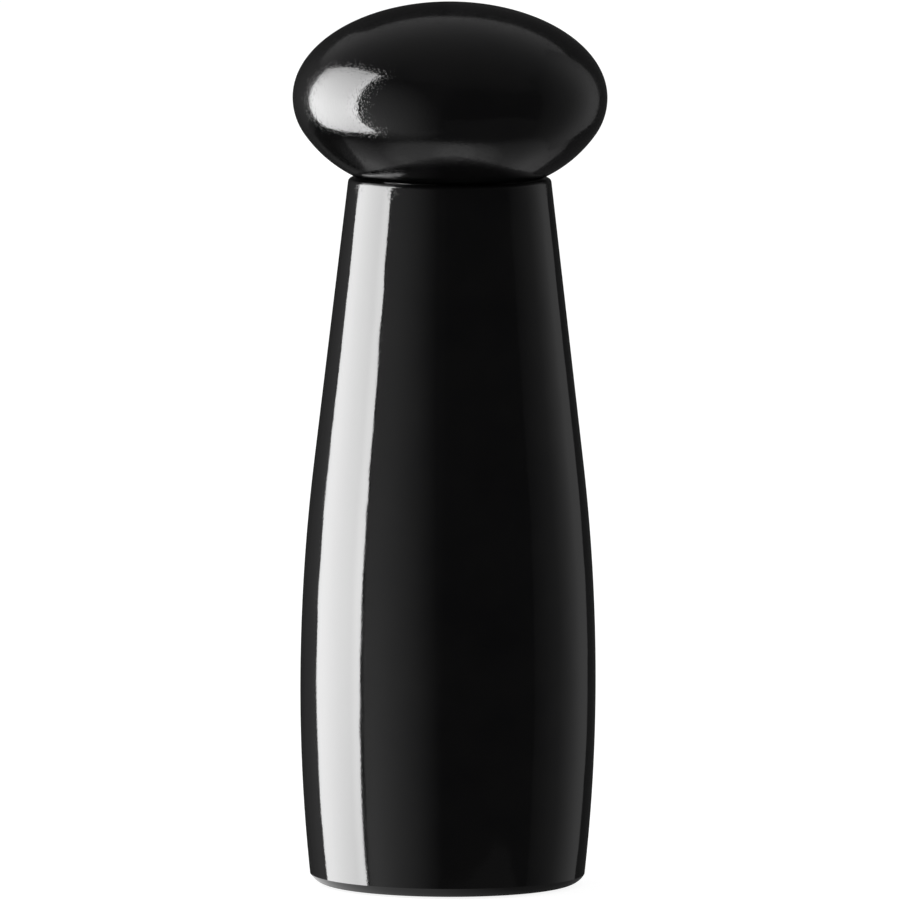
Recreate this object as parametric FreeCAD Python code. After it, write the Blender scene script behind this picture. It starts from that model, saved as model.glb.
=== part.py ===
# Pepper mill with a turned barrel, a lift-off turning head and a ceramic burr grinder.
# The origin is the centre of the base, +Z is up, and all sizes are millimetres and degrees.
# The head turns the square shaft, the shaft turns the inner burr, and a knob under the
# base screws along the shaft's lower end to raise or lower that burr and set the grind.

import FreeCAD, Part
import math
import os

# Barrel outline
barrel_height = 144.2
belly_radius = 30.1
belly_height = 40.6
belly_blend_length = 22.8
base_radius = 28.0
base_edge_height = 1.6
base_edge_radius = 4.0
neck_radius = 20.6
rim_round_radius = 0.7

# Barrel bores
chamber_radius = 15.0
mouth_chamfer = 0.8
pocket_headroom = 0.4

# Head outline and tenon
head_gap = 0.4
equator_height = 16.0
head_radius = 32.0
crown_height = 19.4
shoulder_radius = 12.8
shoulder_angle = 35.0
head_foot_radius = 19.4
tenon_length = 8.0
tenon_clearance = 0.3
tenon_chamfer = 0.8

# Drive socket in the head
shaft_engagement = 18.4
socket_wall = 3.6
socket_roof = 2.5
socket_headroom = 0.2
socket_flange_thickness = 1.6
socket_flange_margin = 0.3
socket_screw_wall = 0.9
socket_screw_count = 2
socket_screw_angle = 0.0
socket_screw_length = 8.0
cap_thickness = 1.0
cap_width = 2.8
cap_clearance = 0.3
grip_ring_thickness = 1.9
grip_ring_bevel = 0.5
grip_ring_squeeze_room = 0.1

# Drive shaft
shaft_width = 6.0
shaft_turned_radius = 3.9
shaft_end_chamfer = 0.6
thread_radius = 2.45
thread_tip_length = 0.6
thread_runout = 0.4

# Fits
running_clearance = 0.05
sliding_clearance = 0.1
press_clearance = 0.02
moulding_clearance = 0.1
housing_clearance = 0.15

# Grinder housing
flange_recess = 2.2
flange_thickness = 2.6
flange_width = 5.6
flange_clearance = 0.3
flange_chamfer = 0.5
housing_radius = 16.0
housing_wall = 2.0
outlet_depth = 6.2
outlet_lip = 0.4
burr_ledge = 1.4
housing_screw_count = 3
housing_screw_angle = 30.0
housing_screw_length = 12.0
key_count = 3
key_angle = 30.0
key_width = 2.0
key_height = 4.0
key_depth = 0.7

# Bridge over the burrs
bridge_skirt_height = 11.0
bridge_skirt_wall = 1.5
bridge_rim_thickness = 1.6
bridge_rim_inset = 0.1
hub_height = 7.1
hub_wall = 1.6
arm_count = 3
arm_angle = 90.0
arm_width = 3.0
arm_depth = 5.0
arm_bevel = 1.0
lug_width = 5.0
lug_height = 2.0
lug_reach = 0.9
lug_drop = 5.0
lug_clearance = 0.15

# Bush, washers and clips on the shaft
bush_wall = 1.05
bush_flange_width = 1.2
bush_flange_thickness = 1.0
thrust_washer_thickness = 0.6
spring_washer_thickness = 0.4
shaft_clip_thickness = 0.8
shaft_clip_width = 3.5
shaft_groove_depth = 1.05
stop_clip_thickness = 0.6
stop_clip_width = 1.7
stop_groove_depth = 0.55
clip_band_share = 0.55
clip_prong_width = 1.6
clip_prong_angles = (90, 205, 335)
clip_mouth_angle = 270

# Burr teeth
outer_burr_height = 14.0
throat_height = 6.0
burr_outlet_wall = 1.6
burr_mouth_wall = 1.3
grinding_taper = 1.5
burr_gap = 0.45
feed_relief = 0.25
inner_burr_overhang = 0.6
inner_burr_height = 13.0
inner_burr_top_wall = 0.8
fine_tooth_count = 36
fine_tooth_depth = 0.5
fine_twist = 10.0
outer_feed_tooth_count = 12
inner_feed_tooth_count = 9
outer_feed_tooth_depth = 1.2
inner_feed_tooth_depth = 0.9
feed_twist = 36.0
tooth_lean = 0.7
outlines_per_pitch = 4

# Burr carrier and spring
carrier_wall = 1.2
carrier_flange_radius = 8.5
carrier_flange_thickness = 1.6
carrier_stub = 0.6
drive_lug_count = 3
drive_lug_width = 2.0
drive_lug_height = 2.4
drive_lug_reach = 2.4
spring_wire = 0.9
spring_shaft_clearance = 0.2
spring_seat_clearance = 0.03
spring_turns = 3.5
spring_wire_sides = 8

# Adjusting knob
finest_lift = 0.8
coarsest_drop = 1.2
knob_height = 7.0
knob_radius = 9.0
knob_chamfer = 0.6
knob_flute_count = 12
knob_flute_radius = 2.0
knob_flute_depth = 0.8
insert_length = 4.2
insert_wall = 1.9
insert_groove_depth = 0.4
insert_groove_width = 1.2
stop_clearance = 0.2
stop_side_clearance = 0.3

# Countersunk wood screw
screw_head_radius = 2.1
screw_head_height = 1.3
screw_head_edge = 0.2
screw_shank_radius = 1.2
screw_tip_length = 2.2

# Heights of the grinder, from the table up
flange_top = flange_recess + flange_thickness
burr_seat = flange_top + outlet_depth
throat_level = burr_seat + throat_height
outer_burr_top = burr_seat + outer_burr_height
housing_top = outer_burr_top + bridge_skirt_height
bridge_top = housing_top + bridge_rim_thickness
pocket_top = bridge_top + pocket_headroom
hub_bottom = bridge_top - hub_height
bush_top = bridge_top + bush_flange_thickness
thrust_washer_top = bush_top + thrust_washer_thickness
shaft_clip_top = thrust_washer_top + shaft_clip_thickness
inner_burr_bottom = burr_seat - inner_burr_overhang
inner_burr_top = inner_burr_bottom + inner_burr_height
carrier_bottom = inner_burr_bottom - carrier_flange_thickness
carrier_top = inner_burr_top + carrier_stub
knob_bottom = carrier_bottom - knob_height
insert_bottom = carrier_bottom - insert_length
stop_clip_top = insert_bottom - coarsest_drop - stop_clearance
stop_clip_bottom = stop_clip_top - stop_clip_thickness
shaft_bottom = stop_clip_bottom - thread_tip_length
thread_top = carrier_bottom + finest_lift + thread_runout
spring_washer_bottom = hub_bottom - spring_washer_thickness

# Heights of the head
head_underside = barrel_height + head_gap
equator_level = head_underside + equator_height
crown_level = equator_level + crown_height
tenon_end = head_underside - tenon_length
shaft_top = tenon_end + shaft_engagement
socket_top = shaft_top + socket_roof
socket_flange_bottom = tenon_end - socket_flange_thickness
cap_top = socket_flange_bottom + cap_thickness
grip_groove_top = cap_top + grip_ring_thickness + grip_ring_squeeze_room

# Radii that follow from the fits
tenon_radius = chamber_radius - tenon_clearance
socket_radius = shaft_turned_radius + socket_wall
pocket_radius = housing_radius + housing_clearance
flange_radius = housing_radius + flange_width
recess_radius = flange_radius + flange_clearance
housing_screw_circle = housing_radius + flange_width / 2
outlet_radius = housing_radius - outlet_lip
housing_bore_radius = housing_radius - housing_wall
ledge_radius = housing_bore_radius - burr_ledge
outer_burr_radius = housing_bore_radius - moulding_clearance
skirt_radius = housing_bore_radius - moulding_clearance
skirt_bore_radius = skirt_radius - bridge_skirt_wall
bush_bore_radius = shaft_turned_radius + running_clearance
bush_radius = bush_bore_radius + bush_wall
bush_flange_radius = bush_radius + bush_flange_width
hub_bore_radius = bush_radius + press_clearance
hub_radius = hub_bore_radius + hub_wall
shaft_groove_radius = shaft_turned_radius - shaft_groove_depth
stop_groove_radius = thread_radius - stop_groove_depth
spring_radius = shaft_turned_radius + spring_shaft_clearance + spring_wire / 2
carrier_bore_radius = shaft_turned_radius + sliding_clearance
carrier_radius = carrier_bore_radius + carrier_wall
outlet_tip_radius = outer_burr_radius - burr_outlet_wall - fine_tooth_depth
throat_radius = outlet_tip_radius - grinding_taper
mouth_tip_radius = outer_burr_radius - burr_mouth_wall - outer_feed_tooth_depth
inner_burr_bore_radius = carrier_radius + moulding_clearance
inner_burr_top_radius = inner_burr_bore_radius + inner_burr_top_wall + inner_feed_tooth_depth
insert_bore_radius = thread_radius + running_clearance
insert_radius = insert_bore_radius + insert_wall
stop_clip_radius = stop_groove_radius + running_clearance + stop_clip_width
knob_well_radius = stop_clip_radius + stop_side_clearance
grip_ring_inner_radius = shaft_turned_radius + running_clearance
grip_groove_radius = grip_ring_inner_radius + grip_ring_thickness + running_clearance
cap_bore_radius = shaft_turned_radius + cap_clearance
cap_radius = cap_bore_radius + cap_width
socket_screw_circle = cap_radius + socket_screw_wall + screw_head_radius
socket_flange_radius = socket_screw_circle + screw_head_radius + socket_flange_margin

origin = FreeCAD.Vector(0, 0, 0)
up = FreeCAD.Vector(0, 0, 1)
down = FreeCAD.Vector(0, 0, -1)


def at(radius, height):
    """Point of a turned profile, in the plane through the mill's axis."""
    return FreeCAD.Vector(radius, 0, height)


def line(start, end):
    return Part.LineSegment(start, end).toShape()


def lines(points):
    return [line(start, end) for start, end in zip(points, points[1:])]


def tangent_arc(start, direction, end):
    """Arc that leaves start along direction and arrives at end."""
    chord = end - start
    bisector = FreeCAD.Vector(direction).normalize() + FreeCAD.Vector(chord).normalize()
    half_turn = direction.getAngle(chord)
    reach = chord.Length / (2 * math.cos(half_turn / 2))
    return Part.Arc(start, start + bisector.normalize() * reach, end).toShape()


def rounded_corner(before, corner, after, radius):
    """Arc of the given radius that rounds a corner between two straight lines."""
    back = (before - corner).normalize()
    forward = (after - corner).normalize()
    half_angle = back.getAngle(forward) / 2
    setback = radius / math.tan(half_angle)
    inward = (back + forward).normalize()
    middle = corner + inward * (radius / math.sin(half_angle) - radius)
    return Part.Arc(corner + back * setback, middle, corner + forward * setback).toShape()


def revolve(edges):
    return Part.Face(Part.Wire(edges)).revolve(origin, up, 360)


def turned(points):
    """Solid turned from a closed polygon of (radius, height) corners."""
    corners = [at(radius, height) for radius, height in points]
    return revolve(lines(corners + corners[:1]))


def cylinder(radius, low, high):
    return Part.makeCylinder(radius, high - low, at(0, low))


def ring(inner_radius, outer_radius, low, high):
    return cylinder(outer_radius, low, high).cut(cylinder(inner_radius, low, high))


def radial_bar(width, inner_radius, outer_radius, low, high):
    """Box along +X from one radius to another, centred on the X axis."""
    corner = FreeCAD.Vector(inner_radius, -width / 2, low)
    return Part.makeBox(outer_radius - inner_radius, width, high - low, corner)


def spread(shape, count, first_angle=0.0):
    """Copies of a shape, evenly spaced round the mill's axis."""
    copies = []
    for index in range(count):
        copy = shape.copy()
        copy.rotate(origin, up, first_angle + index * 360 / count)
        copies.append(copy)
    return copies


def joined(shapes):
    return shapes[0].multiFuse(shapes[1:]).removeSplitter()


def shaft_section(clearance, low, high):
    """Square bar with its corners turned round, grown by a clearance."""
    width = shaft_width + 2 * clearance
    square = radial_bar(width, -width / 2, width / 2, low, high)
    return square.common(cylinder(shaft_turned_radius + clearance, low, high))


def screw_body(length, clearance):
    """Countersunk wood screw standing on its head, or the hole that takes it."""
    head_radius = screw_head_radius + clearance
    shank_radius = screw_shank_radius + clearance
    return turned([
        (0, 0),
        (head_radius, 0),
        (head_radius, screw_head_edge),
        (shank_radius, screw_head_height),
        (shank_radius, length - screw_tip_length),
        (0, length + clearance),
    ])


def placed_screws(screw, circle_radius, height, count, first_angle):
    screw.translate(at(circle_radius, height))
    return spread(screw, count, first_angle)


def housing_screw_set(clearance):
    body = screw_body(housing_screw_length, clearance)
    return placed_screws(body, housing_screw_circle, flange_recess,
                         housing_screw_count, housing_screw_angle)


def socket_screw_set(clearance):
    body = screw_body(socket_screw_length, clearance)
    return placed_screws(body, socket_screw_circle, socket_flange_bottom,
                         socket_screw_count, socket_screw_angle)


def retaining_clip(groove_radius, width, low, high):
    """Flat spring clip with three prongs that push into a shaft groove from one side."""
    inner_radius = groove_radius + running_clearance
    outer_radius = inner_radius + width
    band_radius = outer_radius - width * clip_band_share
    band = ring(band_radius, outer_radius, low, high)
    prong = radial_bar(clip_prong_width, 0, (band_radius + outer_radius) / 2, low, high)
    prongs = []
    for angle in clip_prong_angles:
        prongs += spread(prong, 1, angle)
    mouth = radial_bar(2 * inner_radius, 0, outer_radius + width, low, high)
    mouth.rotate(origin, up, clip_mouth_angle)
    body = joined([band] + prongs)
    return body.cut([cylinder(inner_radius, low, high), mouth])


def toothed_core(levels, tooth_count):
    """Loft through toothed outlines, each given as height, tip radius, root radius and twist."""
    outlines = []
    pitch = 2 * math.pi / tooth_count
    for height, tip_radius, root_radius, twist in levels:
        corners = []
        for tooth in range(tooth_count):
            tip_angle = tooth * pitch + math.radians(twist)
            for radius, angle in ((tip_radius, tip_angle), (root_radius, tip_angle + tooth_lean * pitch)):
                corners.append(FreeCAD.Vector(radius * math.cos(angle), radius * math.sin(angle), height))
        outlines.append(Part.makePolygon(corners + corners[:1]))
    return Part.makeLoft(outlines, True, True)


def tooth_levels(bottom, top, depth, twist, steps):
    """Evenly spaced outlines between two (height, tip radius) ends of a toothed zone."""
    levels = []
    for step in range(steps + 1):
        share = step / steps
        height = bottom[0] + share * (top[0] - bottom[0])
        tip_radius = bottom[1] + share * (top[1] - bottom[1])
        levels.append((height, tip_radius, tip_radius + depth, share * twist))
    return levels


def loft_steps(twist, tooth_count):
    """Outlines enough that a twisted tooth moves by a fraction of its pitch between two of them."""
    return max(1, round(twist * tooth_count * outlines_per_pitch / 360))


def grinding_tip_radius(height):
    """Tip radius of the outer burr's fine teeth, which widen from the throat to the outlet."""
    slope = (outlet_tip_radius - throat_radius) / throat_height
    return throat_radius + slope * (throat_level - height)


def make_barrel():
    base_inset = math.sqrt(2 * base_edge_radius * base_edge_height - base_edge_height ** 2)
    foot = at(base_radius - base_inset, 0)
    base_corner = at(base_radius, base_edge_height)
    belly = at(belly_radius, belly_height)
    blend_corner = at(belly_radius, belly_height + belly_blend_length)
    neck = at(neck_radius, barrel_height)
    mouth = at(chamber_radius + mouth_chamfer, barrel_height)
    flank_direction = (neck - blend_corner).normalize()
    flank_start = blend_corner + flank_direction * belly_blend_length
    base_round = tangent_arc(foot, FreeCAD.Vector(1, 0, 0), base_corner)
    lower_belly = tangent_arc(belly, down, base_corner)
    upper_belly = tangent_arc(belly, up, flank_start)
    rim = rounded_corner(flank_start, neck, mouth, rim_round_radius)
    rim_outer, rim_inner = sorted((vertex.Point for vertex in rim.Vertexes), key=lambda point: -point.x)
    bore = [
        mouth,
        at(chamber_radius, barrel_height - mouth_chamfer),
        at(chamber_radius, pocket_top),
        at(pocket_radius, pocket_top),
        at(pocket_radius, flange_top),
        at(recess_radius, flange_top),
        at(recess_radius, 0),
        foot,
    ]
    outline = [base_round, lower_belly, upper_belly, line(flank_start, rim_outer), rim]
    outline += [line(rim_inner, mouth)] + lines(bore)
    return revolve(outline).cut(housing_screw_set(running_clearance))


def make_head():
    turn = math.radians(shoulder_angle)
    shoulder_centre = at(head_radius - shoulder_radius, equator_level)
    equator = at(head_radius, equator_level)
    crown = at(0, crown_level)
    foot = at(head_foot_radius, head_underside)
    shoulder_end = shoulder_centre + at(math.cos(turn), -math.sin(turn)) * shoulder_radius
    crown_ellipse = Part.Ellipse(equator, crown, at(0, equator_level))
    socket_bore_radius = socket_radius + running_clearance
    socket_bore_top = socket_top + socket_headroom
    underside = [
        foot,
        at(tenon_radius, head_underside),
        at(tenon_radius, tenon_end + tenon_chamfer),
        at(tenon_radius - tenon_chamfer, tenon_end),
        at(socket_bore_radius, tenon_end),
        at(socket_bore_radius, socket_bore_top),
        at(0, socket_bore_top),
        crown,
    ]
    outline = [
        Part.ArcOfEllipse(crown_ellipse, 0, math.pi / 2).toBSpline().toShape(),
        tangent_arc(equator, down, shoulder_end),
        tangent_arc(shoulder_end, at(-math.sin(turn), -math.cos(turn)), foot),
    ]
    return revolve(outline + lines(underside)).cut(socket_screw_set(running_clearance))


def make_drive_socket():
    body = turned([
        (0, socket_flange_bottom),
        (socket_flange_radius, socket_flange_bottom),
        (socket_flange_radius, tenon_end),
        (socket_radius, tenon_end),
        (socket_radius, socket_top),
        (0, socket_top),
    ])
    return body.cut([
        shaft_section(sliding_clearance, socket_flange_bottom, shaft_top),
        cylinder(grip_groove_radius, socket_flange_bottom, grip_groove_top),
        cylinder(cap_radius + running_clearance, socket_flange_bottom, cap_top),
    ] + socket_screw_set(running_clearance))


def make_socket_cap():
    return ring(cap_bore_radius, cap_radius, socket_flange_bottom, cap_top)


def make_grip_ring():
    low = (cap_top + grip_groove_top - grip_ring_thickness) / 2
    high = low + grip_ring_thickness
    outer_radius = grip_ring_inner_radius + grip_ring_thickness
    return turned([
        (grip_ring_inner_radius + grip_ring_bevel, low),
        (outer_radius - grip_ring_bevel, low),
        (outer_radius, low + grip_ring_bevel),
        (outer_radius, high - grip_ring_bevel),
        (outer_radius - grip_ring_bevel, high),
        (grip_ring_inner_radius + grip_ring_bevel, high),
        (grip_ring_inner_radius, high - grip_ring_bevel),
        (grip_ring_inner_radius, low + grip_ring_bevel),
    ])


def make_drive_shaft():
    square = shaft_section(0, thread_top, shaft_top)
    end_cone = turned([
        (0, thread_top),
        (shaft_turned_radius, thread_top),
        (shaft_turned_radius, shaft_top - shaft_end_chamfer),
        (shaft_turned_radius - shaft_end_chamfer, shaft_top),
        (0, shaft_top),
    ])
    clip_groove = ring(shaft_groove_radius, 2 * shaft_turned_radius, thrust_washer_top, shaft_clip_top)
    stop_groove = ring(stop_groove_radius, 2 * thread_radius, stop_clip_bottom, stop_clip_top)
    tip_chamfer = thread_tip_length / 2
    threaded_end = turned([
        (0, shaft_bottom),
        (thread_radius - tip_chamfer, shaft_bottom),
        (thread_radius, shaft_bottom + tip_chamfer),
        (thread_radius, thread_top),
        (0, thread_top),
    ])
    upper = square.common(end_cone).cut(clip_groove)
    return joined([upper, threaded_end.cut(stop_groove)])


def make_shaft_clip():
    return retaining_clip(shaft_groove_radius, shaft_clip_width, thrust_washer_top, shaft_clip_top)


def make_stop_clip():
    return retaining_clip(stop_groove_radius, stop_clip_width, stop_clip_bottom, stop_clip_top)


def make_thrust_washer():
    return ring(bush_bore_radius, bush_flange_radius, bush_top, thrust_washer_top)


def make_spring_washer():
    return ring(bush_bore_radius, bush_radius + bush_flange_width / 2, spring_washer_bottom, hub_bottom)


def make_shaft_bush():
    return turned([
        (bush_bore_radius, hub_bottom),
        (bush_radius, hub_bottom),
        (bush_radius, bridge_top),
        (bush_flange_radius, bridge_top),
        (bush_flange_radius, bush_top),
        (bush_bore_radius, bush_top),
    ])


def make_bridge():
    rim_radius = housing_radius - bridge_rim_inset
    skirt = turned([
        (skirt_bore_radius, outer_burr_top),
        (skirt_radius, outer_burr_top),
        (skirt_radius, housing_top),
        (rim_radius, housing_top),
        (rim_radius, bridge_top),
        (skirt_bore_radius + bridge_rim_thickness, bridge_top),
        (skirt_bore_radius, housing_top),
    ])
    hub = cylinder(hub_radius, hub_bottom, bridge_top)
    arm_outer = skirt_bore_radius + bridge_skirt_wall / 2
    arm = radial_bar(arm_width, 0, arm_outer, bridge_top - arm_depth, bridge_top)
    ridge_edges = [edge for edge in arm.Edges if is_long_top_edge(edge, bridge_top, arm_outer)]
    arms = spread(arm.makeChamfer(arm_bevel, ridge_edges), arm_count, arm_angle)
    lug_top = housing_top - lug_drop
    lug = radial_bar(lug_width, skirt_bore_radius + bridge_skirt_wall / 2, skirt_radius + lug_reach,
                     lug_top - lug_height, lug_top)
    lugs = spread(lug, arm_count, arm_angle)
    bore = cylinder(hub_bore_radius, hub_bottom, bridge_top)
    return joined([skirt, hub] + arms + lugs).cut(bore)


def is_long_top_edge(edge, height, length):
    level = all(abs(vertex.Z - height) < 1e-6 for vertex in edge.Vertexes)
    return level and abs(edge.Length - length) < 1e-6


def make_grinder_housing():
    funnel_slope = (outlet_radius - ledge_radius) / (burr_seat - flange_recess)
    shell = turned([
        (outlet_radius, flange_recess),
        (flange_radius - flange_chamfer, flange_recess),
        (flange_radius, flange_recess + flange_chamfer),
        (flange_radius, flange_top),
        (housing_radius, flange_top),
        (housing_radius, housing_top),
        (housing_bore_radius, housing_top),
        (housing_bore_radius, burr_seat),
        (outlet_radius - funnel_slope * (burr_seat - flange_recess), burr_seat),
    ])
    key = radial_bar(key_width, housing_bore_radius - key_depth, housing_bore_radius + housing_wall / 2,
                     burr_seat, burr_seat + key_height)
    lug_top = housing_top - lug_drop + lug_clearance
    slot_height = lug_height + 2 * lug_clearance
    slot_width = lug_width + 2 * lug_clearance
    slot = radial_bar(slot_width, housing_bore_radius - housing_wall / 2, housing_radius + housing_wall,
                      lug_top - slot_height, lug_top)
    body = joined([shell] + spread(key, key_count, key_angle))
    return body.cut(spread(slot, arm_count, arm_angle) + housing_screw_set(running_clearance))


def make_outer_burr():
    fine = tooth_levels((burr_seat, outlet_tip_radius), (throat_level, throat_radius),
                        fine_tooth_depth, fine_twist, loft_steps(fine_twist, fine_tooth_count))
    feed = tooth_levels((throat_level, throat_radius + feed_relief), (outer_burr_top, mouth_tip_radius),
                        outer_feed_tooth_depth, -feed_twist,
                        loft_steps(feed_twist, outer_feed_tooth_count))
    body = cylinder(outer_burr_radius, burr_seat, outer_burr_top)
    fine_hole = toothed_core(fine, fine_tooth_count)
    feed_hole = toothed_core(feed, outer_feed_tooth_count)
    notch = radial_bar(key_width + 2 * moulding_clearance,
                       housing_bore_radius - key_depth - moulding_clearance, 2 * outer_burr_radius,
                       burr_seat, burr_seat + key_height + moulding_clearance)
    return body.cut([fine_hole, feed_hole] + spread(notch, key_count, key_angle))


def make_inner_burr():
    bottom = (inner_burr_bottom, grinding_tip_radius(inner_burr_bottom) - burr_gap)
    waist = (throat_level, throat_radius - burr_gap)
    feed_radius = throat_radius - burr_gap - fine_tooth_depth - feed_relief
    fine = tooth_levels(bottom, waist, -fine_tooth_depth, -fine_twist,
                        loft_steps(fine_twist, fine_tooth_count))
    feed = tooth_levels((throat_level, feed_radius), (inner_burr_top, inner_burr_top_radius),
                        -inner_feed_tooth_depth, feed_twist,
                        loft_steps(feed_twist, inner_feed_tooth_count))
    body = joined([toothed_core(fine, fine_tooth_count), toothed_core(feed, inner_feed_tooth_count)])
    bore = cylinder(inner_burr_bore_radius, inner_burr_bottom, inner_burr_top)
    slot = radial_bar(drive_lug_width + 2 * moulding_clearance, 0,
                      inner_burr_bore_radius + drive_lug_reach,
                      inner_burr_bottom, inner_burr_bottom + drive_lug_height + moulding_clearance)
    return body.cut([bore] + spread(slot, drive_lug_count))


def make_burr_carrier():
    core = turned([
        (0, carrier_bottom),
        (carrier_flange_radius, carrier_bottom),
        (carrier_flange_radius, inner_burr_bottom),
        (carrier_radius, inner_burr_bottom),
        (carrier_radius, carrier_top),
        (0, carrier_top),
    ])
    lug = radial_bar(drive_lug_width, carrier_radius - carrier_wall / 2, carrier_radius + drive_lug_reach,
                     inner_burr_bottom, inner_burr_bottom + drive_lug_height)
    body = joined([core] + spread(lug, drive_lug_count))
    return body.cut(shaft_section(sliding_clearance, carrier_bottom, carrier_top))


def make_adjusting_knob():
    blank = turned([
        (0, knob_bottom),
        (knob_radius - knob_chamfer, knob_bottom),
        (knob_radius, knob_bottom + knob_chamfer),
        (knob_radius, carrier_bottom - knob_chamfer),
        (knob_radius - knob_chamfer, carrier_bottom),
        (0, carrier_bottom),
    ])
    flute = cylinder(knob_flute_radius, knob_bottom, carrier_bottom)
    flute.translate(at(knob_radius + knob_flute_radius - knob_flute_depth, 0))
    well = cylinder(knob_well_radius, knob_bottom, insert_bottom)
    return blank.cut(spread(flute, knob_flute_count) + [well, insert_body(press_clearance)])


def insert_body(clearance):
    """Turned brass insert with a groove that the moulded knob locks into."""
    outer = insert_radius + clearance
    groove_radius = outer - insert_groove_depth
    middle = (insert_bottom + carrier_bottom) / 2
    groove_low = middle - insert_groove_width / 2 + clearance
    groove_high = middle + insert_groove_width / 2 - clearance
    return turned([
        (0, insert_bottom),
        (outer, insert_bottom),
        (outer, groove_low),
        (groove_radius, groove_low),
        (groove_radius, groove_high),
        (outer, groove_high),
        (outer, carrier_bottom),
        (0, carrier_bottom),
    ])


def make_thread_insert():
    return insert_body(0).cut(cylinder(insert_bore_radius, insert_bottom, carrier_bottom))


def helix_point(turn, low, rise):
    angle = 2 * math.pi * turn
    height = low + rise * turn / spring_turns
    return FreeCAD.Vector(spring_radius * math.cos(angle), spring_radius * math.sin(angle), height)


def helix_direction(turn, rise):
    angle = 2 * math.pi * turn
    climb = rise / spring_turns / (2 * math.pi)
    across = FreeCAD.Vector(-math.sin(angle), math.cos(angle), 0) * spring_radius
    return (across + at(0, climb)).normalize()


def biarc(start, leaving, end, arriving):
    """Two tangent arcs that leave start along one direction and arrive at end along another."""
    span = end - start
    both = leaving + arriving
    bend = 2 * (1 - leaving.dot(arriving))
    reach = (math.sqrt(span.dot(both) ** 2 + bend * span.dot(span)) - span.dot(both)) / bend
    joint = (start + leaving * reach + end - arriving * reach) * 0.5
    middle_direction = (end - arriving * reach) - (start + leaving * reach)
    return [tangent_arc(start, leaving, joint), tangent_arc(joint, middle_direction, end)]


def make_burr_spring():
    seat = spring_wire / 2 + spring_seat_clearance
    low = carrier_top + seat
    rise = spring_washer_bottom - seat - low
    half_turns = max(1, round(2 * spring_turns))
    edges = []
    for half_turn in range(half_turns):
        first = spring_turns * half_turn / half_turns
        last = spring_turns * (half_turn + 1) / half_turns
        edges += biarc(helix_point(first, low, rise), helix_direction(first, rise),
                       helix_point(last, low, rise), helix_direction(last, rise))
    print("least gap between spring turns, mm:", round(spring_gap(low, rise), 3))
    return Part.Wire(edges).makePipeShell([wire_section(low, rise)], True, False)


def wire_section(low, rise):
    """Many-sided section of the spring wire, square to the wire's first end."""
    centre = helix_point(0, low, rise)
    outward = FreeCAD.Vector(1, 0, 0)
    across = helix_direction(0, rise).cross(outward)
    corners = []
    for side in range(spring_wire_sides):
        angle = 2 * math.pi * (side + 0.5) / spring_wire_sides
        corners.append(centre + (outward * math.cos(angle) + across * math.sin(angle)) * (spring_wire / 2))
    return Part.makePolygon(corners + corners[:1])


def spring_gap(low, rise):
    """Least free distance between turns, measured on points a half turn or more apart."""
    points_per_turn = 24
    count = round(points_per_turn * spring_turns) + 1
    points = [helix_point(index / points_per_turn, low, rise) for index in range(count)]
    distances = []
    for index, point in enumerate(points):
        for other in points[index + points_per_turn // 2:]:
            distances.append(point.distanceToPoint(other))
    return min(distances) - spring_wire


nodes = {
    "barrel": make_barrel(),
    "head": make_head(),
    "drive_socket": make_drive_socket(),
    "socket_cap": make_socket_cap(),
    "socket_screws": Part.makeCompound(socket_screw_set(0)),
    "grip_ring": make_grip_ring(),
    "drive_shaft": make_drive_shaft(),
    "shaft_clip": make_shaft_clip(),
    "stop_clip": make_stop_clip(),
    "thrust_washer": make_thrust_washer(),
    "spring_washer": make_spring_washer(),
    "shaft_bush": make_shaft_bush(),
    "bridge": make_bridge(),
    "grinder_housing": make_grinder_housing(),
    "housing_screws": Part.makeCompound(housing_screw_set(0)),
    "outer_burr": make_outer_burr(),
    "inner_burr": make_inner_burr(),
    "burr_carrier": make_burr_carrier(),
    "burr_spring": make_burr_spring(),
    "adjusting_knob": make_adjusting_knob(),
    "thread_insert": make_thread_insert(),
}

os.makedirs("parts", exist_ok=True)
for name, shape in nodes.items():
    shape.exportStep(f"parts/{name}.step")
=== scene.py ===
# Pepper mill in gloss black lacquer: the finish of its pieces, the studio and the camera.
# All sizes are metres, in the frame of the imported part: +Z is up and the base stands on z = 0.

import bpy
import math
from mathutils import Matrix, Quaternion, Vector


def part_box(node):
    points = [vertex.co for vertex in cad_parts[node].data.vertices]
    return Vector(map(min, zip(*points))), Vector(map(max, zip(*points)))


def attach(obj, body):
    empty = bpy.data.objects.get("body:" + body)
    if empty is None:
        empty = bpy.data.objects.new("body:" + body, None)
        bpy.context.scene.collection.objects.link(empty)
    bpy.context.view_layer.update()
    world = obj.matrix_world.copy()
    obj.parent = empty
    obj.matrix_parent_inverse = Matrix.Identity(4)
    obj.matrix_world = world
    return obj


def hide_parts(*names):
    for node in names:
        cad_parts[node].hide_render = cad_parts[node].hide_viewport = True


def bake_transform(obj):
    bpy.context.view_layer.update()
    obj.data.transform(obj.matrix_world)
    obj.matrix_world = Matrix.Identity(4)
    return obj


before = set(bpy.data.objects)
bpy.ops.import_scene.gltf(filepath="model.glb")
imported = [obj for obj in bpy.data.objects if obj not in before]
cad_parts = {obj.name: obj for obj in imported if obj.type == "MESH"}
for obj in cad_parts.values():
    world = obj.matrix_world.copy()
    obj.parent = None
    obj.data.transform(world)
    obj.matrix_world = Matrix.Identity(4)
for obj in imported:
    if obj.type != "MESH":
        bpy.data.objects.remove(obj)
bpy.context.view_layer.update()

MM = 0.001
FULL_TURN = 2 * math.pi
LATHE_STEPS = 256
SMOOTH_BELOW = 35
MERGE_GAP = 0.002 * MM

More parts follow.
